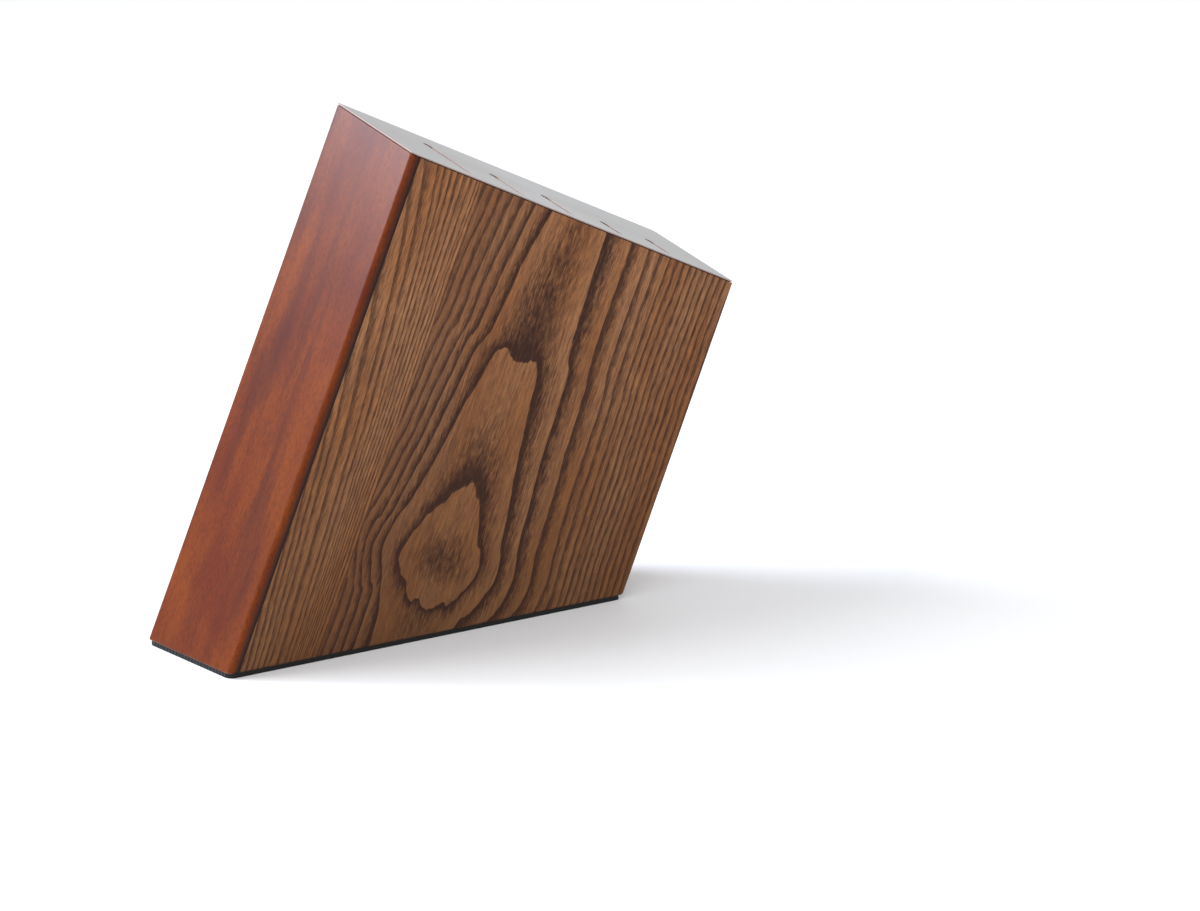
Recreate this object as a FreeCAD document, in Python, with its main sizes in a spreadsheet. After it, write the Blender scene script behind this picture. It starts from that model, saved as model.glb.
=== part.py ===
import FreeCAD, Part
import os
import re
import Sketcher

# Slanted knife block, empty: a laminated core with five knife channels, held between two
# side panels, a front rail and a rear rail, under a thin metal plate and on a rubber pad.
#
# The block frame, in which every wooden piece is drawn before it is seated:
#   x runs from the front rail to the rear, square to the long axis
#   y runs through the thickness, from the near side face (0) to the far one
#   z runs up along the long axis from the front foot edge
# The foot is cut level with the table, and the top is cut square to z with a side tilt.

SLOT_COUNT = 5
LEAST_CUT = 100.0                # a cut must take away at least this volume, mm3
TOUCH = 0.01                     # points closer than this count as the same, mm
PARALLEL = 1e-6                  # how far a unit dot product may be from one
DIMENSIONS = {
    "lean_angle": 65.6,          # long axis above the table, degrees
    "block_width": 227.0,        # square to the long axis
    "block_length": 288.6,       # along the front, at the middle of the thickness
    "block_thickness": 80.0,
    "top_tilt": 10.8,            # the top face falls this many degrees to the near side
    "front_radius": 3.0,
    "rear_radius": 1.5,
    "foot_chamfer": 0.8,
    "rail_depth": 5.5,
    "rear_rail_depth": 10.0,
    "panel_thickness": 8.0,
    "stave_edge": 48.5,          # glue joint between a side's front stave and its wide panel
    "base_thickness": 10.0,
    "pad_thickness": 2.5,
    "pad_inset": 0.8,
    "pad_radius": 4.0,
    "plate_thickness": 0.6,
    "plate_radius": 2.5,
    "film_thickness": 0.5,
    "film_inset": 1.0,
    "slot_width": 4.0,
    "first_slot": 45.0,          # front face to the middle of the first slot
    "slot_pitch": 35.0,
    "relief_radius": 3.0,        # round end of each slot, for the spine of the blade
    "relief_depth": 40.0,
    "span_slot_one": 48.0,       # how far each slot reaches in from the near panel
    "span_slot_two": 32.0,
    "span_slot_three": 30.0,
    "span_slot_four": 19.5,
    "span_slot_five": 22.5,
    "dowel_radius": 4.0,
    "dowel_entry": 3.5,          # how far a dowel enters each rail
    "dowel_edge": 5.5,           # dowel axis to the far panel
    "dowel_low": 160.0,
    "dowel_high": 245.0,
    "screw_radius": 2.0,
    "screw_length": 26.0,
    "screw_head_radius": 4.0,
    "screw_head_height": 2.6,
    "screw_edge": 20.0,          # screw axis to the nearer side face
    "screw_mid_height": 12.0,    # height at which a screw crosses the middle of its board
    "cut_margin": 5.0,           # how far a cutting shape reaches past the wood
}
DERIVED = {
    "foot_slope": "1 / tan(lean_angle * 1 deg)",
    "foot_length": "block_width / sin(lean_angle * 1 deg)",
    "tilt_slope": "tan(top_tilt * 1 deg)",
    "near_length": "block_length - tilt_slope * block_thickness / 2",
    "wood_near_length": "near_length - (plate_thickness + film_thickness) / cos(top_tilt * 1 deg)",
    "blank_length": "block_length + block_thickness",
    "inner_far": "block_thickness - panel_thickness",
    "inner_rear": "block_width - rear_rail_depth",
    "origin_shift": "0",         # set below, from the finished pieces
}
SPANS = ["span_slot_one", "span_slot_two", "span_slot_three", "span_slot_four", "span_slot_five"]

doc = FreeCAD.newDocument("knife_block")
sheet = doc.addObject("Spreadsheet::Sheet", "sizes")
NAMES = list(DIMENSIONS) + list(DERIVED)
for row, name in enumerate(NAMES, start=1):
    sheet.set(f"A{row}", name)
    sheet.setAlias(f"B{row}", name)
for name, value in DIMENSIONS.items():
    sheet.set(name, str(value))
for name, formula in DERIVED.items():
    sheet.set(name, "=" + formula)
doc.recompute()


# ---------------------------------------------------------------- helpers
def cells(expression):
    """The expression with each dimension's name turned into its cell."""
    return re.sub(r"[a-z_]+", lambda word: "sizes." + word[0] if word[0] in NAMES else word[0],
                  str(expression))


def bind(target, **expressions):
    """Bind properties to expressions; two underscores stand for the dot in a property path."""
    for path, expression in expressions.items():
        target.setExpression(path.replace("__", "."), cells(expression))


def add(kind, label, **expressions):
    item = doc.addObject(kind, label)
    item.Label = label
    bind(item, **expressions)
    return item


def sketch_on(body, plane, label):
    """An empty sketch on one of the body's own origin planes."""
    sketch = body.newObject("Sketcher::SketchObject", label)
    support = next(item for item in body.Origin.OriginFeatures if item.Role == plane)
    sketch.AttachmentSupport = [(support, "")]
    sketch.MapMode = "FlatFace"
    return sketch


def pin_point(sketch, element, vertex, across, up):
    """Hold a sketch point at two signed distances from the sketch's origin."""
    for kind, expression in (("DistanceX", across), ("DistanceY", up)):
        index = sketch.addConstraint(Sketcher.Constraint(kind, -1, 1, element, vertex, 1.0))
        sketch.setExpression(f"Constraints[{index}]", cells(expression))


def draw_polygon(sketch, corners):
    """A closed polygon through corners given as pairs of expressions."""
    start = [FreeCAD.Vector(number(across), number(up), 0) for across, up in corners]
    count = len(corners)
    first = sketch.GeometryCount
    for index in range(count):
        sketch.addGeometry(Part.LineSegment(start[index], start[(index + 1) % count]), False)
    for index, (across, up) in enumerate(corners):
        ahead = first + (index + 1) % count
        sketch.addConstraint(Sketcher.Constraint("Coincident", first + index, 2, ahead, 1))
        pin_point(sketch, first + index, 1, across, up)


def draw_circle(sketch, across, up, radius):
    centre = FreeCAD.Vector(number(across), number(up), 0)
    ring = sketch.addGeometry(Part.Circle(centre, FreeCAD.Vector(0, 0, 1), number(radius)), False)
    pin_point(sketch, ring, 3, across, up)
    index = sketch.addConstraint(Sketcher.Constraint("Radius", ring, number(radius)))
    sketch.setExpression(f"Constraints[{index}]", cells(radius))


def number(expression):
    """What an expression comes to, so that a sketch starts near its solved shape."""
    return float(sheet.evalExpression(cells(expression)))


def feature(body, kind, label, **expressions):
    item = body.newObject(kind, label)
    bind(item, **expressions)
    return item


def through_pocket(body, sketch, label):
    pocket = feature(body, "PartDesign::Pocket", label)
    pocket.Profile = sketch
    pocket.Type = "ThroughAll"
    pocket.Midplane = True
    doc.recompute()
    return pocket


def dress(body, kind, label, base, pick, **expressions):
    """A fillet or chamfer on the edges of the base that the test picks."""
    doc.recompute()
    edges = [f"Edge{i}" for i, edge in enumerate(base.Shape.Edges, start=1) if pick(edge)]
    item = feature(body, kind, label, **expressions)
    item.Base = (base, edges)
    doc.recompute()
    return item


def runs_along(edge, axis):
    """True for a straight edge along one axis of the piece's own frame."""
    if edge.Curve.TypeId != "Part::GeomLine":
        return False
    return abs(abs(edge.Curve.Direction.dot(axis)) - 1) < PARALLEL


def boolean(kind, label, base, tool):
    item = add(kind, label)
    item.Base = base
    item.Tool = tool
    return item


def compound(label, members):
    item = add("Part::Compound", label)
    item.Links = members
    return item


Z_AXIS = FreeCAD.Vector(0, 0, 1)
SEAT = ("placement(vector(origin_shift; -block_thickness / 2; pad_thickness);"
        " rotation(vector(0; 1; 0); 90 - lean_angle))")
LEVEL = "rotation(vector(0; 1; 0); lean_angle - 90)"
pieces = {}


def finish(label, item, placement=SEAT):
    """Name a finished piece and seat it in the part's own frame."""
    item.Label = label
    bind(item, Placement=placement)
    pieces[label] = item


def slot_middle(index):
    return f"(first_slot + {index} * slot_pitch)"


# ---------------------------------------------------------------- shared outlines
def make_envelope():
    """The outside of all the wood together, with its rounded corners and both end cuts."""
    body = add("PartDesign::Body", "wood_envelope")
    side = sketch_on(body, "XZ_Plane", "side_outline")
    draw_polygon(side, [("0", "0"), ("block_width", "block_width * foot_slope"),
                        ("block_width", "blank_length"), ("0", "blank_length")])
    pad = feature(body, "PartDesign::Pad", "envelope_pad", Length="block_thickness")
    pad.Profile = side
    pad.Reversed = True
    half = number("block_width") / 2

    def front(edge):
        return runs_along(edge, Z_AXIS) and edge.CenterOfMass.x < half

    def rear(edge):
        return runs_along(edge, Z_AXIS) and edge.CenterOfMass.x > 2 * half - TOUCH

    rounded = dress(body, "PartDesign::Fillet", "front_round", pad, front, Radius="front_radius")
    eased = dress(body, "PartDesign::Fillet", "rear_round", rounded, rear, Radius="rear_radius")
    slope = number("foot_slope")

    def on_foot(edge):
        return all(abs(v.Point.z - v.Point.x * slope) < TOUCH for v in edge.Vertexes)

    foot = dress(body, "PartDesign::Chamfer", "foot_break", eased, on_foot, Size="foot_chamfer")
    above = "blank_length + cut_margin"
    beyond = "(block_thickness + cut_margin)"
    top = sketch_on(body, "YZ_Plane", "top_cut")
    draw_polygon(top, [("-cut_margin", "wood_near_length - cut_margin * tilt_slope"),
                       (beyond, f"wood_near_length + {beyond} * tilt_slope"),
                       (beyond, above), ("-cut_margin", above)])
    before = foot.Shape.Volume
    cut = through_pocket(body, top, "top_pocket")
    assert cut.Shape.Volume < before - LEAST_CUT, "the top was not cut"
    body.Tip = cut
    return body


def make_base_slab():
    """The layer just above the foot that the base board takes from the core."""
    slab = add("Part::Box", "base_layer", Length="foot_length", Width="block_thickness",
               Height="base_thickness", Placement=f"placement(vector(0; 0; 0); {LEVEL})")
    return slab


def make_dowels():
    """Two dowels through the whole core, in the solid wood beside the channels' far ends."""
    rods = []
    for level in ("dowel_low", "dowel_high"):
        place = (f"placement(vector(rail_depth - dowel_entry; inner_far - dowel_edge; {level});"
                 " rotation(vector(0; 1; 0); 90))")
        rods.append(add("Part::Cylinder", level.replace("_", "_rod_"), Radius="dowel_radius",
                        Height="inner_rear - rail_depth + 2 * dowel_entry", Placement=place))
    return compound("dowel_rods", rods)


def make_screws():
    """Four countersunk screws, upright once seated, from the base board into the core."""
    front_middle = f"(rail_depth + {slot_middle(0)} - slot_width / 2) / 2"
    rear_middle = f"(inner_rear + {slot_middle(SLOT_COUNT - 1)} + slot_width / 2) / 2"
    screws = []
    for end, middle in (("front", front_middle), ("rear", rear_middle)):
        along = (f"({middle} + screw_mid_height * cos(lean_angle * 1 deg))"
                 " / sin(lean_angle * 1 deg)")
        for side, across in (("near", "screw_edge"), ("far", "block_thickness - screw_edge")):
            name = f"{end}_{side}_screw"
            head = add("Part::Cone", name + "_head", Radius1="screw_head_radius",
                       Radius2="screw_radius", Height="screw_head_height")
            shank = add("Part::Cylinder", name + "_shank", Radius="screw_radius",
                        Height="screw_length - screw_head_height",
                        Placement__Base__z="screw_head_height")
            screw = boolean("Part::Fuse", name, head, shank)
            bind(screw, Placement=(f"placement(vector({along} * sin(lean_angle * 1 deg);"
                                   f" {across}; {along} * cos(lean_angle * 1 deg)); {LEVEL})"))
            screws.append(screw)
    return compound("screw_rods", screws)


def make_relief_bores():
    """The short round bores at the far end of each channel's mouth."""
    bores = []
    for index, span in enumerate(SPANS):
        place = (f"placement(vector({slot_middle(index)};"
                 f" panel_thickness + {span} - relief_radius;"
                 " near_length - relief_depth); rotation(vector(0; 0; 1); 0))")
        bores.append(add("Part::Cylinder", f"relief_bore_{index + 1}", Radius="relief_radius",
                         Height="2 * relief_depth", Placement=place))
    return compound("relief_bores", bores)


# ---------------------------------------------------------------- wooden pieces
def make_board(label, outline, x_range, y_range, tools=()):
    """A straight board: a slab of the outline, less whatever runs through it."""
    (x_low, x_high), (y_low, y_high) = x_range, y_range
    slab = add("Part::Box", label + "_slab", Length=f"({x_high}) - ({x_low})",
               Width=f"({y_high}) - ({y_low})", Height="2 * blank_length",
               Placement__Base__x=x_low, Placement__Base__y=y_low,
               Placement__Base__z="-blank_length / 2")
    item = boolean("Part::Common", label + "_common", outline, slab)
    for index, tool in enumerate(tools, start=1):
        item = boolean("Part::Cut", f"{label}_cut_{index}", item, tool)
    finish(label, item)


def make_wood(envelope, core, base_slab, dowels, screws, bores):
    whole = ("0", "block_thickness")
    inner = ("panel_thickness", "inner_far")
    make_board("front_rail", envelope, ("0", "rail_depth"), whole, [dowels])
    make_board("rear_rail", envelope, ("inner_rear", "block_width"), inner, [dowels])
    for side, y_range in (("near", ("0", "panel_thickness")),
                          ("far", ("inner_far", "block_thickness"))):
        make_board(side + "_stave", envelope, ("rail_depth", "stave_edge"), y_range)
        make_board(side + "_panel", envelope, ("stave_edge", "block_width"), y_range)
    for index in range(SLOT_COUNT + 1):
        low = "rail_depth" if index == 0 else f"{slot_middle(index - 1)} + slot_width / 2"
        high = "inner_rear" if index == SLOT_COUNT else f"{slot_middle(index)} - slot_width / 2"
        tools = [dowels, bores]
        if index in (0, SLOT_COUNT):
            tools.append(screws)
        make_board(f"core_board_{index + 1}", core, (low, high), inner, tools)
    for index, span in enumerate(SPANS):
        edges = (f"{slot_middle(index)} - slot_width / 2", f"{slot_middle(index)} + slot_width / 2")
        make_board(f"slot_strip_{index + 1}", core, edges,
                   (f"panel_thickness + {span}", "inner_far"), [dowels, bores])
    make_board("base_board", base_slab, ("rail_depth", "inner_rear"), inner, [screws])


# ---------------------------------------------------------------- plate, film and pad
def make_top_sheet(label, thickness, depth, inset):
    """A thin slotted sheet under the tilted top face, its top lying at the given depth."""
    body = add("PartDesign::Body", label)
    across = (f"(block_thickness / cos(top_tilt * 1 deg) - ({depth} + {thickness}) * tilt_slope"
              f" - {inset})")
    outline = sketch_on(body, "XY_Plane", label + "_outline")
    far = f"block_width - {inset}"
    draw_polygon(outline, [(inset, inset), (far, inset), (far, across), (inset, across)])
    pad = feature(body, "PartDesign::Pad", label + "_pad", Length=thickness)
    pad.Profile = outline
    corners = dress(body, "PartDesign::Fillet", label + "_corners", pad,
                    lambda edge: runs_along(edge, Z_AXIS), Radius=f"plate_radius - {inset}")
    slots = sketch_on(body, "XY_Plane", label + "_slots")
    ends = sketch_on(body, "XY_Plane", label + "_slot_ends")
    for index, span in enumerate(SPANS):
        low = f"{slot_middle(index)} - slot_width / 2"
        high = f"{slot_middle(index)} + slot_width / 2"
        near = "panel_thickness / cos(top_tilt * 1 deg) + slot_width / 2"
        spine = f"(panel_thickness + {span} - relief_radius) / cos(top_tilt * 1 deg)"
        draw_polygon(slots, [(low, near), (high, near), (high, spine), (low, spine)])
        draw_circle(ends, slot_middle(index), near, "slot_width / 2")
        draw_circle(ends, slot_middle(index), spine, "relief_radius")
    before = corners.Shape.Volume
    through_pocket(body, slots, label + "_slot_pocket")
    body.Tip = through_pocket(body, ends, label + "_end_pocket")
    assert body.Tip.Shape.Volume < before - LEAST_CUT, "the slots were not cut"
    under = f"({depth} + {thickness})"
    finish(label, body, f"{SEAT} * placement(vector(0; {under} * sin(top_tilt * 1 deg);"
           f" near_length - {under} * cos(top_tilt * 1 deg));"
           " rotation(vector(1; 0; 0); top_tilt))")


def make_base_pad():
    body = add("PartDesign::Body", "base_pad")
    outline = sketch_on(body, "XY_Plane", "pad_outline")
    length = "foot_length - 2 * pad_inset"
    width = "block_thickness - 2 * pad_inset"
    draw_polygon(outline, [("0", "0"), (length, "0"), (length, width), ("0", width)])
    pad = feature(body, "PartDesign::Pad", "pad_body", Length="pad_thickness")
    pad.Profile = outline
    body.Tip = dress(body, "PartDesign::Fillet", "pad_corners", pad,
                     lambda edge: runs_along(edge, Z_AXIS), Radius="pad_radius")
    finish("base_pad", body, "placement(vector(origin_shift + pad_inset;"
           " pad_inset - block_thickness / 2; 0); rotation(vector(0; 0; 1); 0))")


# ---------------------------------------------------------------- the block
def make_block():
    envelope = make_envelope()
    base_slab = make_base_slab()
    core = boolean("Part::Cut", "core_envelope", envelope, base_slab)
    dowels = make_dowels()
    screws = make_screws()
    make_wood(envelope, core, base_slab, dowels, screws, make_relief_bores())
    make_top_sheet("top_plate", "plate_thickness", "0", "0")
    make_top_sheet("plate_film", "film_thickness", "plate_thickness", "film_inset")
    make_base_pad()
    for label, group in (("core_dowels", dowels), ("base_screws", screws)):
        finish(label, compound(label, [group]))


def centre_origin():
    """Put the origin under the middle of the finished block."""
    doc.recompute()
    box = FreeCAD.BoundBox()
    for item in pieces.values():
        box.add(item.Shape.optimalBoundingBox(False, False))
    sheet.set("origin_shift", str(-(box.XMin + box.XMax) / 2))
    doc.recompute()
    return box


def export_pieces():
    for item in doc.Objects:
        if "Invalid" in item.State or "Error" in item.State:
            raise RuntimeError(f"{item.Label} failed: {item.State}")
    os.makedirs("parts", exist_ok=True)
    for label, item in pieces.items():
        shape = item.Shape
        if shape.isNull() or not shape.isValid():
            raise RuntimeError(f"{label} has no valid shape")
        shape.exportStep(f"parts/{label}.step")
        box = shape.BoundBox
        print(f"{label:20s} solids {len(shape.Solids)} volume {shape.Volume:10.1f}"
              f" z {box.ZMin:7.2f} to {box.ZMax:7.2f}")


make_block()
overall = centre_origin()
print(f"overall {overall.XLength:.2f} x {overall.YLength:.2f} x {overall.ZLength:.2f} mm")
export_pieces()
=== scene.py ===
import math
import bpy
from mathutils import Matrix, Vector


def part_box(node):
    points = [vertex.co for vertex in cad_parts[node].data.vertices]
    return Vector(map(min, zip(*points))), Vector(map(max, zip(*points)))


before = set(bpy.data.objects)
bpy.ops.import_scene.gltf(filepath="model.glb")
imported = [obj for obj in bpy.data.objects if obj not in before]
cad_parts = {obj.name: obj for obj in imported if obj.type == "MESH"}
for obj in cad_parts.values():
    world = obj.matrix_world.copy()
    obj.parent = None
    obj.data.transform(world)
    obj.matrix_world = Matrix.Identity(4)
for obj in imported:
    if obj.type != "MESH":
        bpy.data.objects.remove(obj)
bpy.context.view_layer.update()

# ---------------------------------------------------------------- sizes, in millimetres
MM = 0.001
WAVE_PERIOD = math.pi / 10          # wave texture scale that gives one band per unit
LEAN = math.radians(65.6)           # long axis of the block above the table
PLATE_TILT = math.radians(10.8)     # the top plate falls this much to the near side
RIB_PITCH = 3.0
RAIL_JOINT_SHADE = (0.5, 4.5)             # where the rail's painted shade towards the joint starts and is full, from the front
FOOT_LOW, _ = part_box("front_rail")  # the front foot edge is where the block frame starts
NEAR_LOW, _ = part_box("near_panel")
BASE_LOW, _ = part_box("base_board")
BLOCK_START = Vector((FOOT_LOW.x, NEAR_LOW.y, BASE_LOW.z))
PLATE_UP = Vector((math.cos(PLATE_TILT) * math.cos(LEAN), -math.sin(PLATE_TILT),
                   math.cos(PLATE_TILT) * math.sin(LEAN)))

# ---------------------------------------------------------------- colours
ASH_LIGHT = "#AA7852"
ASH_WARM = "#A1683E"
# painted shade colour towards the foot and the rear
ASH_SHADE_GOLD = "#5E3D1B"
ASH_MIDDLE = "#563728"
ASH_DARK = "#38221A"
CHERRY_LIGHT = "#7A3708"
CHERRY_RED = "#63250C"
CHERRY_STREAK = "#431813"
CHERRY_VESSEL = "#3A150C"
# painted shade on the rail's side returns, darkest at the joint line
CHERRY_JOINT_SHADE = "#1C0B07"
BEECH_LIGHT = "#C08A6C"
BEECH_WARM = "#A9704F"
BEECH_FLECK = "#7A4B36"
STEEL_PALE = "#CACACA"
STEEL_GREY = "#BABABB"
# pinkish cut edges: painted reflection of the wood
STEEL_CUT_PINK_REFLECTION = "#AE9890"
# near black film: painted shade for the gap under the plate
FILM_GAP_SHADE = ("#101010", "#1C1B1A")
RUBBER = ("#080808", "#101010")
ZINC_BLUE = "#C4C8CC"
ZINC_YELLOW = "#A8A69C"
FLOOR_WHITE = "#F3F5F8"
WHITE = "#FFFFFF"
COOL_WHITE = "#E4EBFF"

# ---------------------------------------------------------------- grain
# How long the lumps of each pattern are along x, y and z of the block, in millimetres. Ash
# pores are about 0.3 mm across and hairlines on steel far finer: both are drawn wider here,
# so that they show.
ASH_FIBRE = (0.9, 0.9, 9.0)
ASH_FLECK = (1.9, 1.9, 5.0)
ASH_STREAK = (2.2, 2.2, 32.0)
ASH_DRIFT = (26.0, 26.0, 120.0)
SLOW_WANDER = (45.0, 45.0, 90.0)
FINE_WANDER = (9.0, 9.0, 16.0)
CROWN_GRAIN = (9.0, 9.0, 90.0)
CHERRY_GRAIN = (17.0, 17.0, 110.0)
CHERRY_CLOUD = (30.0, 30.0, 60.0)
CHERRY_PORES = (1.1, 1.1, 3.0)
BEECH_RAYS = (0.6, 0.6, 3.0)
BEECH_DRIFT = (12.0, 12.0, 90.0)
STEEL_HAIRLINE = (40.0, 0.5, 0.5)
FOAM_CELL = (0.4, 0.4, 0.4)
RUBBER_GRAIN = (0.6, 0.6, 0.6)
ZINC_MOTTLE = (1.5, 1.5, 1.5)
# The range that noise mostly stays in, and a tighter one that sharpens it.
NOISE_SWING = (0.2, 0.8)
NOISE_CORE = (0.35, 0.65)

# ---------------------------------------------------------------- gloss, from bright to dull
ASH_ROUGHNESS = (0.42, 0.58)
STEEL_ROUGHNESS = (0.34, 0.46)
STEEL_CUT_ROUGHNESS = 0.75
FOAM_ROUGHNESS = (0.62, 0.78)
RUBBER_ROUGHNESS = (0.5, 0.66)
ZINC_ROUGHNESS = (0.25, 0.4)

# ---------------------------------------------------------------- studio, in metres and watts
FLOOR_REACH = 6.0
WORLD_STRENGTH = 0.78
WINDOW = {"towards": (-0.75, 0.6, 0.85), "strength": 1.5, "angle": 35.0}
OVERHEAD = {"place": (-0.15, -0.8, 1.0), "aim": (0, 0, 0.22), "size": (1.0, 1.0), "power": 3.6}
SHEEN_CARD = {"place": (-0.62, 0.95, 0.84), "aim": (-0.05, 0, 0.24), "size": (0.6, 0.45),
              "power": 17.0, "colour": COOL_WHITE}
FIELD_UP = 0.13                     # height of the point the camera turns about
AZIMUTH = math.radians(-36.366)
ELEVATION = math.radians(14.411)
DISTANCE = 2.55169
PAN_RIGHT = 0.079241
PAN_UP = -0.044366
LENS = 145.54                       # millimetres, on a sensor 36 mm wide
SENSOR = 36.0

# ---------------------------------------------------------------- growth rings of the panels
# The saw cut grazes the pith line: how deep the line lies under the face, squared, up the board.
PITH_X = 99.5
PITH_DRIFT = 0.03
PITH_DEPTH_SQUARED = 306.0
CROWN_TEAR = (-8.0, 10.8)           # how far the tops of the rings are torn down and up
CROWN_SPAN = (160.0, 190.0)         # from here up the board the crown is split
CLEFT = 9.0                         # how deep the split is
CLEFT_REACH = 9.0                   # and how far it reaches to each side
SIDE_BLEND = 12.0                   # from the pith line to each side's own rings
NARROW_SIDE = (60.0, 105.0)         # the slow grown side is darker, from full to none
NARROW_DIM = 0.4
BOARD_TOP = 300.0
DEPTH_TOP = 2400.0
DEPTHS = [(0, 1150), (300, 1950), (40, 1000), (60, 860), (67, 600), (76, 305), (84, 90),
          (91, 10), (97, 70), (110, 366), (120, 511), (133.5, 655), (150, 832), (180, 1110),
          (197, 1240), (203, 1320), (207, 1450), (214, 1560), (250, 1690), (281, 1850)]
# How many rings lie inside each radius, on the slow grown and on the fast grown side.
RING_REACH = 140.0
RING_TOP = 24.0
NARROW_RINGS = [(0, 0.25), (140, 23.9), (17, 0.25), (31, 1), (35, 1.5), (42.3, 2), (48, 3),
                (52.5, 4), (69.7, 8), (100, 15)]
WIDE_RINGS = [(0, 0.25), (140, 20.4), (17, 0.25), (31, 1), (35, 1.5), (42.3, 2), (53, 3),
              (64, 4), (73.8, 5), (79.5, 6), (85.3, 7), (100, 10.6)]
STAVE_RINGS = [(0, 0), (140, 24), (12, 2), (30, 5.5), (44, 8.4), (56, 10), (64, 12), (80, 20)]
STAVE_PITH = 33.0                   # the stave's rings start this far in front of it
STAVE_SLANT = 0.15                  # and lean this much at its front edge
STAVE_SPAN = (43.0, 5.0)            # from upright to fully leaning
STAVE_MIDDLE = 140.0
EDGE_RING = 3.4                     # one ring on the quarter sawn rail
# How dark the wood is across one ring, from its pored spring wood to its summer wood, and the
# ring counts between which the broad bands give way to narrow ones.
RING_SHADE = [(0, 0.5), (1, 0), (0.04, 1), (0.12, 1), (0.24, 0.8), (0.38, 0.58),
              (0.54, 0.32), (0.7, 0.1), (0.86, 0), (0.96, 0)]
NARROW_SHADE = [(0, 0.4), (1, 0), (0.06, 0.9), (0.22, 0.85), (0.36, 0.5), (0.52, 0.2),
                (0.7, 0), (0.94, 0)]
NARROWING = (3.0, 6.0)
NARROW_CONTRAST = 0.82
RAGGED = 0.85                       # how far the fibres tear a band's outer edge
# Painted shade: the wood darkens and turns golden towards the foot and the rear, where less light
# falls.
FOOT_SHADE_SLOPE = 0.45
FOOT_SHADE_SPAN = (-200.0, 40.0)
FOOT_SHADE_SHARE = 0.75


def srgb(code):
    """A colour given as sRGB hex, as the linear RGBA that Blender's sockets take."""
    values = [int(code[i:i + 2], 16) / 255 for i in (1, 3, 5)]
    return [v / 12.92 if v <= 0.04045 else ((v + 0.055) / 1.055) ** 2.4 for v in values] + [1.0]


def add(tree, kind, inputs=(), **settings):
    """Add a shader node with its settings and inputs, and give its first live output. A list
    fills the live inputs in order; a socket is linked, and any other value is set."""
    node = tree.nodes.new("ShaderNode" + kind)
    for name, value in settings.items():
        setattr(node, name, value)
    if not isinstance(inputs, dict):
        live = [socket.identifier for socket in node.inputs if socket.enabled]
        inputs = dict(zip(live, inputs))
    for key, value in inputs.items():
        socket = next(s for s in node.inputs if key in (s.identifier, s.name) and s.enabled)
        if isinstance(value, bpy.types.NodeSocket):
            tree.links.new(value, socket)
        else:
            socket.default_value = value
    return next((socket for socket in node.outputs if socket.enabled), None)


def new_material(name, **sockets):
    """A material with one Principled shader whose plain numbers sit on its own sockets."""
    material = bpy.data.materials.new(name)
    material.use_nodes = True
    tree = material.node_tree
    tree.nodes.clear()
    shader = add(tree, "BsdfPrincipled").node
    for key, value in sockets.items():
        shader.inputs[key.replace("_", " ").title().replace("Ior", "IOR")].default_value = value
    add(tree, "OutputMaterial", {"Surface": shader.outputs[0]})
    return material, tree, shader


def finish(tree, shader, colour, roughness=None, height=None, strength=0.2, depth=0.05):
    """Plug a pattern's colour, roughness and relief, in millimetres deep, into its shader."""
    tree.links.new(colour, shader.inputs["Base Color"])
    if roughness:
        tree.links.new(roughness, shader.inputs["Roughness"])
    if height:
        bump = add(tree, "Bump", {"Height": height, "Strength": strength, "Distance": depth * MM})
        tree.links.new(bump, shader.inputs["Normal"])


def shaped(tree, value, points, reach=1.0, top=1.0):
    """A value bent by a curve whose points are given in the units of its two axes."""
    share = add(tree, "Math", [value, reach], operation="DIVIDE")
    bent = add(tree, "FloatCurve", {"Value": share})
    curve = bent.node.mapping.curves[0]
    for index, (across, up) in enumerate(points):
        place = (across / reach, up / top)
        if index < 2:
            curve.points[index].location = place
        else:
            curve.points.new(*place)
    bent.node.mapping.update()
    return add(tree, "Math", [bent, top], operation="MULTIPLY"), curve


def block_space(tree, shift=(0.0, 0.0, 0.0), turn=0.0):
    """Millimetres in the block frame: x from the front, y from the near side, z up the grain."""
    where = add(tree, "TexCoord").node.outputs["Object"]
    seated = add(tree, "Mapping",
                 {"Vector": where, "Location": BLOCK_START,
                  "Rotation": (0.0, math.pi / 2 - LEAN, 0.0), "Scale": (MM, MM, MM)},
                 vector_type="TEXTURE")
    return add(tree, "Mapping", {"Vector": seated, "Location": shift,
                                 "Rotation": (0.0, 0.0, turn)})


def noise(tree, where, size, detail=2.0, roughness=0.5):
    """Noise whose lumps are about the given size in millimetres along x, y and z."""
    scaled = add(tree, "Mapping", {"Vector": where, "Scale": [1 / s for s in size]})
    return add(tree, "TexNoise", {"Vector": scaled, "Scale": 1.0, "Detail": detail,
                                  "Roughness": roughness})


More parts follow.
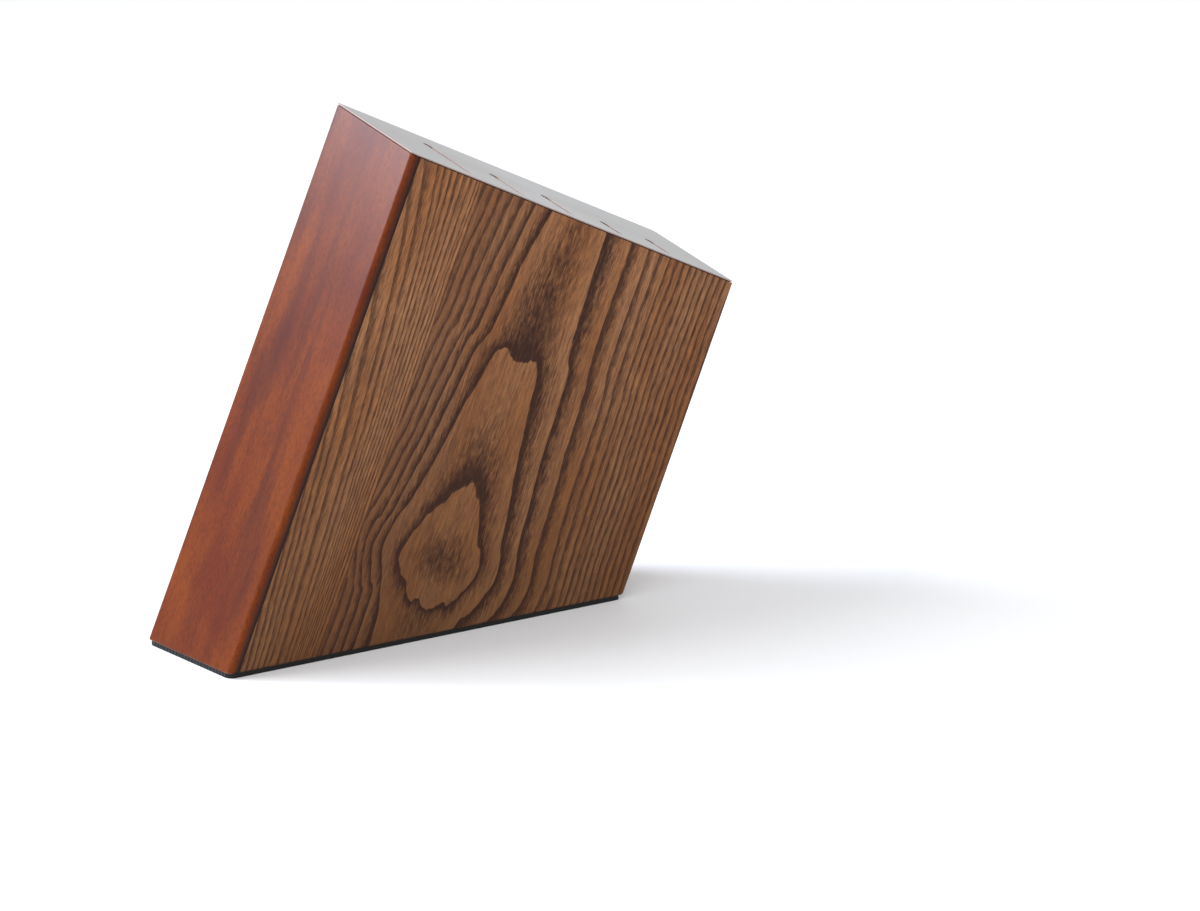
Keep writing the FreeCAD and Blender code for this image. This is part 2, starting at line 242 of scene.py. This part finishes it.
# ---------------------------------------------------------------- smoked ash
def ash_colour(tree, where, phase, contrast=1.0, dim=None):
    """Growth rings of smoked ash from a ring count: each ring starts in a dark, coarse pored
    band with a clear inner edge and a ragged outer one, and ends in plain brown summer wood,
    which is darker where the board is dim."""
    part = add(tree, "Math", [phase], operation="FRACT")
    broad, _ = shaped(tree, part, RING_SHADE)
    close, _ = shaped(tree, part, NARROW_SHADE)
    outer = add(tree, "MapRange", [phase, *NARROWING, 0.0, 1.0])
    band = add(tree, "Mix", [outer, broad, close])
    fibre = noise(tree, where, ASH_FIBRE, 4.0, 0.72)
    fleck = noise(tree, where, ASH_FLECK, 3.0, 0.6)
    rough = add(tree, "Mix", [0.4, fibre, fleck])
    ragged = add(tree, "MapRange", [rough, 0.3, 0.7, -RAGGED, RAGGED])
    free = add(tree, "MapRange", [band, 0.0, 0.3, 0.25, 0.85])
    held = add(tree, "MapRange", [band, 0.7, 1.0, 1.0, 0.5])
    reach = add(tree, "Math", [free, held], operation="MULTIPLY")
    shade = add(tree, "Math", [ragged, reach, band], operation="MULTIPLY_ADD")
    lighter = NARROW_CONTRAST * contrast
    deepest = add(tree, "MapRange", [outer, 0.0, 1.0, contrast, lighter])
    dark = add(tree, "MapRange", [shade, -0.05, 1.0, 0.0, deepest])
    drift = noise(tree, where, ASH_DRIFT, 1.0)
    warmth = add(tree, "MapRange", [drift, *NOISE_CORE, 0.0, 1.0])
    plain = add(tree, "Mix", [warmth, srgb(ASH_LIGHT), srgb(ASH_WARM)], data_type="RGBA")
    # Painted shade: darker and golden towards the foot and the rear, where less light falls.
    spot = add(tree, "SeparateXYZ", [where])
    height = add(tree, "Math", [spot.node.outputs[2], -1.0], operation="MULTIPLY")
    low = add(tree, "Math", [spot, FOOT_SHADE_SLOPE, height], operation="MULTIPLY_ADD")
    foot_shade = add(tree, "MapRange", [low, *FOOT_SHADE_SPAN, 0.0, FOOT_SHADE_SHARE])
    plain = add(tree, "Mix", [foot_shade, plain, srgb(ASH_SHADE_GOLD)], data_type="RGBA")
    streak = noise(tree, where, ASH_STREAK, 3.0, 0.65)
    line = add(tree, "Mix", [0.5, fibre, streak])
    grain = add(tree, "MapRange", [line, 0.36, 0.64, 0.0, 0.85])
    plain = add(tree, "Mix", [grain, plain, srgb(ASH_MIDDLE)], data_type="RGBA")
    if dim:
        plain = add(tree, "Mix", [dim, plain, srgb(ASH_MIDDLE)], data_type="RGBA")
    colour = add(tree, "Mix", [dark, plain, srgb(ASH_DARK)], data_type="RGBA")
    return colour, dark, fibre


def finish_ash(tree, shader, colour, dark, fibre):
    """Oiled, lightly brushed surface: the pored bands sit a little lower and are duller."""
    fine = add(tree, "Math", [fibre, 0.3], operation="MULTIPLY")
    height = add(tree, "Math", [dark, -0.7, fine], operation="MULTIPLY_ADD")
    dull = add(tree, "MapRange", [dark, 0.0, 1.0, *ASH_ROUGHNESS])
    finish(tree, shader, colour, dull, height, 0.35, 0.12)


def wandering(tree, where, slow, fine):
    """The x coordinate with a slow wander and a finer jagged one, both long up the grain, and
    the z coordinate as it is."""
    spot = add(tree, "SeparateXYZ", [where])
    broad = noise(tree, where, SLOW_WANDER, 1.0)
    sharp = noise(tree, where, FINE_WANDER, 2.0)
    wander = add(tree, "MapRange", [broad, 0.0, 1.0, -slow, slow])
    jag = add(tree, "MapRange", [sharp, 0.0, 1.0, -fine, fine])
    moved = add(tree, "Math", [wander, jag], operation="ADD")
    return add(tree, "Math", [spot, moved], operation="ADD"), spot.node.outputs[2]


def ring_count(tree, radius, rings):
    """How many rings lie inside a radius, counted along straight stretches of a curve."""
    count, curve = shaped(tree, radius, rings, RING_REACH, RING_TOP)
    for point in curve.points:
        point.handle_type = "VECTOR"
    return count


def flat_sawn_ash(name, shift=(0.0, 0.0, 0.0)):
    """Smoked ash, planed flat sawn board: cathedral rings around a closed eye, where the saw
    cut grazes the pith line. The ring count comes from the distance to that line."""
    material, tree, shader = new_material(name, specular_ior_level=0.1)
    where = block_space(tree, shift)
    x, z = wandering(tree, where, slow=3.0, fine=0.8)
    pith = add(tree, "Math", [z, PITH_DRIFT, PITH_X], operation="MULTIPLY_ADD")
    aside = add(tree, "Math", [x, pith], operation="SUBTRACT")
    ragged = noise(tree, where, CROWN_GRAIN, 2.0)
    torn = add(tree, "MapRange", [ragged, 0.0, 1.0, *CROWN_TEAR])
    apart = add(tree, "Math", [aside], operation="ABSOLUTE")
    cleft = add(tree, "MapRange", [apart, 0.0, CLEFT_REACH, CLEFT, 0.0],
                interpolation_type="SMOOTHSTEP")
    crown = add(tree, "MapRange", [z, *CROWN_SPAN, 0.0, 1.0])
    lifted = add(tree, "Math", [cleft, crown, z], operation="MULTIPLY_ADD")
    level = add(tree, "Math", [lifted, torn], operation="ADD")
    depth, _ = shaped(tree, level, DEPTHS, BOARD_TOP, DEPTH_TOP)
    below = add(tree, "Math", [depth, PITH_DEPTH_SQUARED], operation="ADD")
    square = add(tree, "Math", [aside, aside, below], operation="MULTIPLY_ADD")
    radius = add(tree, "Math", [square], operation="SQRT")
    narrow = ring_count(tree, radius, NARROW_RINGS)
    wide = ring_count(tree, radius, WIDE_RINGS)
    side = add(tree, "MapRange", [aside, -SIDE_BLEND, SIDE_BLEND, 0.0, 1.0],
               interpolation_type="SMOOTHSTEP")
    phase = add(tree, "Mix", [side, narrow, wide])
    dim = add(tree, "MapRange", [x, *NARROW_SIDE, NARROW_DIM, 0.0])
    finish_ash(tree, shader, *ash_colour(tree, where, phase, dim=dim))
    return material


def stave_ash(name, shift=(0.0, 0.0, 0.0)):
    """Smoked ash, planed rift sawn stave: broad slanting rings near its front edge that close
    up into fine upright ones towards the glue joint."""
    material, tree, shader = new_material(name, specular_ior_level=0.1)
    where = block_space(tree, shift)
    x, z = wandering(tree, where, slow=1.6, fine=0.5)
    slant = add(tree, "MapRange", [x, *STAVE_SPAN, 0.0, STAVE_SLANT])
    rise = add(tree, "Math", [z, STAVE_MIDDLE], operation="SUBTRACT")
    across = add(tree, "Math", [slant, rise, x], operation="MULTIPLY_ADD")
    clear = add(tree, "Math", [across, STAVE_PITH], operation="ADD")
    phase = ring_count(tree, clear, STAVE_RINGS)
    finish_ash(tree, shader, *ash_colour(tree, where, phase, contrast=0.95))
    return material


def edge_ash(name):
    """Smoked ash, quarter sawn: straight rings that run up the rear rail."""
    material, tree, shader = new_material(name, specular_ior_level=0.1)
    where = block_space(tree, turn=math.pi / 2)
    x, _ = wandering(tree, where, slow=2.5, fine=0.4)
    phase = add(tree, "Math", [x, EDGE_RING], operation="DIVIDE")
    finish_ash(tree, shader, *ash_colour(tree, where, phase))
    return material


# ---------------------------------------------------------------- other materials
def oiled_cherry():
    """Cherry, planed and oiled: a warm red brown with soft darker streaks up the grain, short
    fine vessel lines, painted shade that darkens the side returns down to a dark joint line with
    the sides, and a satin film that picks up the light at the top."""
    material, tree, shader = new_material("oiled_cherry", specular_ior_level=0.16, roughness=0.29)
    where = block_space(tree)
    streak = noise(tree, where, CHERRY_GRAIN, 3.0, 0.55)
    cloud = noise(tree, where, CHERRY_CLOUD, 3.0)
    vessel = noise(tree, where, CHERRY_PORES, 3.0, 0.7)
    redness = add(tree, "MapRange", [cloud, *NOISE_CORE, 0.0, 1.0])
    tone = add(tree, "Mix", [redness, srgb(CHERRY_LIGHT), srgb(CHERRY_RED)], data_type="RGBA")
    soft = add(tree, "MapRange", [streak, 0.44, 0.72, 0.0, 0.6], interpolation_type="SMOOTHSTEP")
    tone = add(tree, "Mix", [soft, tone, srgb(CHERRY_STREAK)], data_type="RGBA")
    pores = add(tree, "MapRange", [vessel, 0.42, 0.68, 0.0, 0.5])
    tone = add(tree, "Mix", [pores, tone, srgb(CHERRY_VESSEL)], data_type="RGBA")
    # Painted shade: the side returns darken towards the joint with the sides, ending in a dark
    # joint line.
    x = add(tree, "SeparateXYZ", [where])
    joint_shade = add(tree, "MapRange", [x, *RAIL_JOINT_SHADE, 0.0, 1.0])
    tone = add(tree, "Mix", [joint_shade, tone, srgb(CHERRY_JOINT_SHADE)], data_type="RGBA")
    finish(tree, shader, tone, None, vessel, 0.15, 0.06)
    return material


def steamed_beech(name, turn):
    """Beech, steamed and planed: even pink brown with short dark ray flecks."""
    material, tree, shader = new_material(name, roughness=0.55, specular_ior_level=0.35)
    where = block_space(tree, turn=turn)
    fleck = noise(tree, where, BEECH_RAYS, 2.0)
    drift = noise(tree, where, BEECH_DRIFT, 2.0)
    tone = add(tree, "Mix", [drift, srgb(BEECH_LIGHT), srgb(BEECH_WARM)], data_type="RGBA")
    rays = add(tree, "MapRange", [fleck, 0.55, 0.75, 0.0, 0.5])
    tone = add(tree, "Mix", [rays, tone, srgb(BEECH_FLECK)], data_type="RGBA")
    finish(tree, shader, tone, None, fleck)
    return material


def satin_steel():
    """Stainless steel sheet, finely ground along its length, with dull laser cut edges tinted
    pinkish as a painted reflection of the wood: a pale even grey whose hairlines spread the
    light across them."""
    material, tree, shader = new_material("satin_steel", metallic=1.0, anisotropic=0.4)
    where = block_space(tree)
    hair = noise(tree, where, STEEL_HAIRLINE, 3.0, 0.6)
    tone = add(tree, "Mix", [hair, srgb(STEEL_PALE), srgb(STEEL_GREY)], data_type="RGBA")
    worn = add(tree, "MapRange", [hair, *NOISE_SWING, *STEEL_ROUGHNESS])
    facing = add(tree, "TexCoord").node.outputs["Normal"]
    level = add(tree, "VectorMath", [facing, PLATE_UP], operation="DOT_PRODUCT")
    # Painted reflection: the cut edges take a pinkish tint that stands in for the wood they
    # reflect.
    cut = add(tree, "MapRange", [level, 0.9, 0.5, 0.0, 1.0])
    tone = add(tree, "Mix", [cut, tone, srgb(STEEL_CUT_PINK_REFLECTION)], data_type="RGBA")
    worn = add(tree, "Mix", [cut, worn, STEEL_CUT_ROUGHNESS])
    finish(tree, shader, tone, worn, hair, 0.08, 0.02)
    return material


def gap_shade_film():
    """Foam adhesive film, cast: a matt near black line under the plate whose colour is painted
    shade for the gap there, with a fine open grain.
    """
    material, tree, shader = new_material("adhesive_film_gap_shade", specular_ior_level=0.35)
    grain = noise(tree, block_space(tree), FOAM_CELL, 3.0, 0.6)
    # Painted shade: the film is near black so the gap under the plate reads as shadow.
    tone = add(tree, "Mix", [grain, srgb(FILM_GAP_SHADE[0]), srgb(FILM_GAP_SHADE[1])], data_type="RGBA")
    worn = add(tree, "MapRange", [grain, *NOISE_SWING, *FOAM_ROUGHNESS])
    finish(tree, shader, tone, worn, grain, 0.3, 0.05)
    return material


def ribbed_rubber():
    """Moulded rubber, matt and nearly black, with fine lengthwise ribs that grip the table."""
    material, tree, shader = new_material("moulded_rubber", specular_ior_level=0.3)
    where = block_space(tree)
    grain = noise(tree, where, RUBBER_GRAIN, 3.0, 0.6)
    pitch = add(tree, "Mapping", {"Vector": where, "Scale": [1 / RIB_PITCH] * 3})
    ribs = add(tree, "TexWave", {"Vector": pitch, "Scale": WAVE_PERIOD}, bands_direction="Y")
    tone = add(tree, "Mix", [grain, srgb(RUBBER[0]), srgb(RUBBER[1])], data_type="RGBA")
    worn = add(tree, "MapRange", [grain, *NOISE_SWING, *RUBBER_ROUGHNESS])
    relief = add(tree, "Math", [grain, 0.15, ribs], operation="MULTIPLY_ADD")
    finish(tree, shader, tone, worn, relief, 0.6, 0.4)
    return material


def zinc_steel():
    """Steel screws, zinc plated: bluish pale metal with a faint mottle."""
    material, tree, shader = new_material("zinc_plated_steel", metallic=1.0)
    mottle = noise(tree, block_space(tree), ZINC_MOTTLE, 2.0)
    tone = add(tree, "Mix", [mottle, srgb(ZINC_BLUE), srgb(ZINC_YELLOW)], data_type="RGBA")
    worn = add(tree, "MapRange", [mottle, *NOISE_SWING, *ZINC_ROUGHNESS])
    finish(tree, shader, tone, worn)
    return material


def dress(nodes, material):
    """Give CAD nodes a finished material in place of their plain one."""
    for name in nodes:
        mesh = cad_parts[name].data
        mesh.materials.clear()
        mesh.materials.append(material)


# ---------------------------------------------------------------- finish every piece
core = sorted(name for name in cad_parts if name.startswith("core_board"))
strips = sorted(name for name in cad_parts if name.startswith("slot_strip"))
dress(["near_panel"], flat_sawn_ash("smoked_ash_near"))
dress(["far_panel"], flat_sawn_ash("smoked_ash_far", shift=(-25.0, 40.0, 30.0)))
dress(["near_stave"], stave_ash("smoked_ash_near_stave"))
dress(["far_stave"], stave_ash("smoked_ash_far_stave", shift=(4.0, 30.0, 55.0)))
dress(["rear_rail"], edge_ash("smoked_ash_rail"))
dress(["front_rail"], oiled_cherry())
dress(core[0::2], steamed_beech("steamed_beech", turn=0.0))
dress(core[1::2] + ["base_board"], steamed_beech("steamed_beech_turned", turn=1.1))
dress(strips + ["core_dowels"], steamed_beech("steamed_beech_strip", turn=0.6))
dress(["top_plate"], satin_steel())
dress(["plate_film"], gap_shade_film())
dress(["base_pad"], ribbed_rubber())
dress(["base_screws"], zinc_steel())


# ---------------------------------------------------------------- floor, light and camera
def make_floor():
    mesh = bpy.data.meshes.new("floor")
    reach = FLOOR_REACH
    corners = [(-reach, -reach, 0), (reach, -reach, 0), (reach, reach, 0), (-reach, reach, 0)]
    mesh.from_pydata(corners, [], [(0, 1, 2, 3)])
    floor = bpy.data.objects.new("floor", mesh)
    bpy.context.scene.collection.objects.link(floor)
    material, _, shader = new_material("floor_white", roughness=0.6, specular_ior_level=0.2)
    shader.inputs["Base Color"].default_value = srgb(FLOOR_WHITE)
    mesh.materials.append(material)


def make_light(name, place, aim, size, power, colour=WHITE):
    """A soft rectangular light that faces a point."""
    data = bpy.data.lights.new(name, "AREA")
    data.shape = "RECTANGLE"
    data.size, data.size_y = size
    data.energy = power
    data.color = srgb(colour)[:3]
    light = bpy.data.objects.new(name, data)
    light.location = place
    light.rotation_euler = (Vector(aim) - Vector(place)).to_track_quat("-Z", "Y").to_euler()
    bpy.context.scene.collection.objects.link(light)


def make_sun(name, towards, strength, angle):
    """An even light from far away, softened over a wide angle in degrees."""
    data = bpy.data.lights.new(name, "SUN")
    data.energy = strength
    data.angle = math.radians(angle)
    light = bpy.data.objects.new(name, data)
    light.rotation_euler = Vector(towards).to_track_quat("Z", "Y").to_euler()
    bpy.context.scene.collection.objects.link(light)


def make_world(strength):
    world = bpy.data.worlds.new("studio")
    world.use_nodes = True
    background = world.node_tree.nodes["Background"]
    background.inputs["Color"].default_value = srgb(WHITE)
    background.inputs["Strength"].default_value = strength
    bpy.context.scene.world = world


def make_camera():
    back = Vector((math.sin(AZIMUTH) * math.cos(ELEVATION),
                   -math.cos(AZIMUTH) * math.cos(ELEVATION), math.sin(ELEVATION)))
    right = Vector((math.cos(AZIMUTH), math.sin(AZIMUTH), 0))
    up = back.cross(right)
    data = bpy.data.cameras.new("camera")
    data.sensor_width = SENSOR
    data.lens = LENS
    camera = bpy.data.objects.new("camera", data)
    centre = Vector((0, 0, FIELD_UP))
    camera.location = centre + back * DISTANCE + right * PAN_RIGHT + up * PAN_UP
    camera.rotation_euler = (math.pi / 2 - ELEVATION, 0, AZIMUTH)
    bpy.context.scene.collection.objects.link(camera)
    bpy.context.scene.camera = camera


bpy.context.scene.view_settings.view_transform = "Standard"
make_floor()
make_world(WORLD_STRENGTH)
make_sun("window", **WINDOW)
make_light("overhead", **OVERHEAD)
make_light("sheen_card", **SHEEN_CARD)
make_camera()
